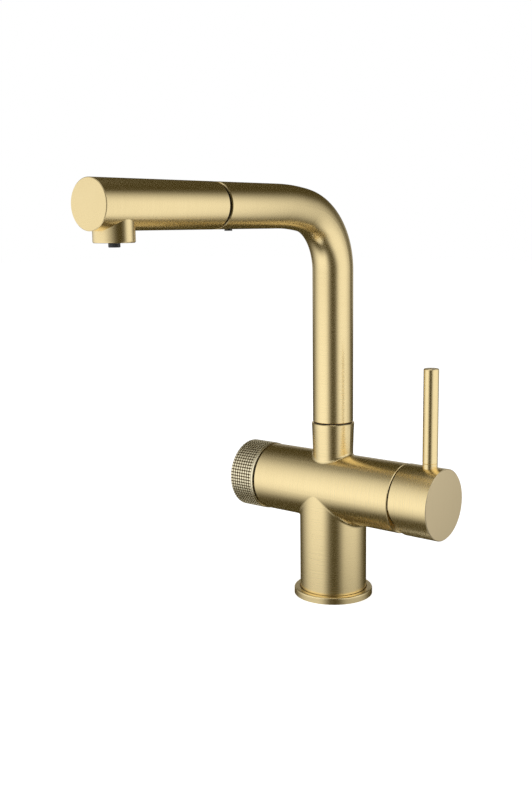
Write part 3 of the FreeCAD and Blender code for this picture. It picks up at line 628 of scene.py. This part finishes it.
def backdrop_paper():
    """A dim grey strip above the worktop, seen through the gap at the back of the tent."""
    paper, tree, _ = start_material("backdrop_paper")
    _, (_, _, z) = own_places(tree)
    strip = band(tree, z, *backdrop_strip)
    show(tree, plain_glow(tree, maths(tree, "MULTIPLY", strip, backdrop_grey)))
    return paper


def screen_paper():
    """Two soft windows further out, for a spray head that is swung and pulled out of the tent."""
    paper, tree, _ = start_material("screen_paper")
    _, (x, y, z) = own_places(tree)
    angle = compass_angle(tree, x, y, front_seam)
    left = window(tree, angle, z, *far_left_window)
    right = window(tree, angle, z, *far_right_window)
    show(tree, plain_glow(tree, maths(tree, "MAXIMUM", left, right)))
    return paper


def upright_sheet(name, material, radius, low, high, start, turn):
    """A round sheet about the tent's middle that only metal mirrors. It runs from one compass
    angle through a turn, in degrees, and its faces point inwards."""
    shape = bmesh.new()
    across = Vector((cos(radians(start)), sin(radians(start)))) * radius + tent_centre
    edge = shape.edges.new([shape.verts.new((*across, height)) for height in (low, high)])
    bmesh.ops.spin(shape, geom=[*edge.verts, edge], axis=(0, 0, 1), cent=(*tent_centre, 0),
                   angle=radians(turn), steps=sheet_steps, use_merge=turn == 360)
    shape.normal_update()
    for face in shape.faces:
        if face.normal.dot(face.calc_center_median() - Vector((*tent_centre, 0))) > 0:
            face.normal_flip()
    sheet = stage_object(name, shape, material)
    sheet.visible_camera = False
    sheet.visible_diffuse = False
    sheet.visible_transmission = False
    sheet.visible_shadow = False


def soft_lamp(name, angle, power):
    """A lamp for the floor and the plastics. The metal shows the tent's windows instead."""
    lamp = bpy.data.lights.new(name, "AREA")
    lamp.shape = "SQUARE"
    lamp.size = lamp_size
    lamp.energy = power
    thing = bpy.data.objects.new(name, lamp)
    sideways = Vector((cos(radians(angle)), sin(radians(angle)))) * lamp_distance
    thing.location = (*sideways, lamp_height)
    thing.rotation_euler = (lamp_aim - thing.location).to_track_quat("-Z", "Y").to_euler()
    thing.visible_glossy = False
    scene.collection.objects.link(thing)


# Camera: its place, the way it looks in degrees, its lens in millimetres and its sideways shift

camera_place = Vector((0.42343, -0.5908, 0.26071))
camera_azimuth = 38.62
camera_pitch = 9.458
camera_roll = -0.577
camera_lens = 47.483
camera_shift = -0.0158


def photo_camera():
    data = bpy.data.cameras.new("camera")
    data.sensor_width = 36
    data.lens = camera_lens
    data.shift_x = camera_shift
    data.clip_start = 0.01
    data.clip_end = 50
    azimuth, pitch, roll = radians(camera_azimuth), radians(camera_pitch), radians(camera_roll)
    level_right = Vector((cos(azimuth), sin(azimuth), 0))
    forward = Vector((-sin(azimuth) * cos(pitch), cos(azimuth) * cos(pitch), -sin(pitch)))
    level_up = level_right.cross(forward)
    right = level_right * cos(roll) + level_up * sin(roll)
    up = level_up * cos(roll) - level_right * sin(roll)
    camera = bpy.data.objects.new("camera", data)
    turned = Matrix((right, up, -forward)).transposed()
    camera.matrix_world = Matrix.Translation(camera_place) @ turned.to_4x4()
    scene.collection.objects.link(camera)
    scene.camera = camera


finish_nodes()
make_knob()
white_room()
pale_floor()
upright_sheet("tent", tent_cloth(), tent_radius, tent_foot, tent_top, start=0, turn=360)
upright_sheet("backdrop", backdrop_paper(), backdrop_distance, backdrop_foot, backdrop_top,
              start=20, turn=180)
upright_sheet("front_screen", screen_paper(), backdrop_distance, backdrop_foot, backdrop_top,
              start=200, turn=180)
soft_lamp("left_lamp", angle=-122, power=12)
soft_lamp("right_lamp", angle=12, power=9)
photo_camera()
scene.view_settings.view_transform = "Standard"
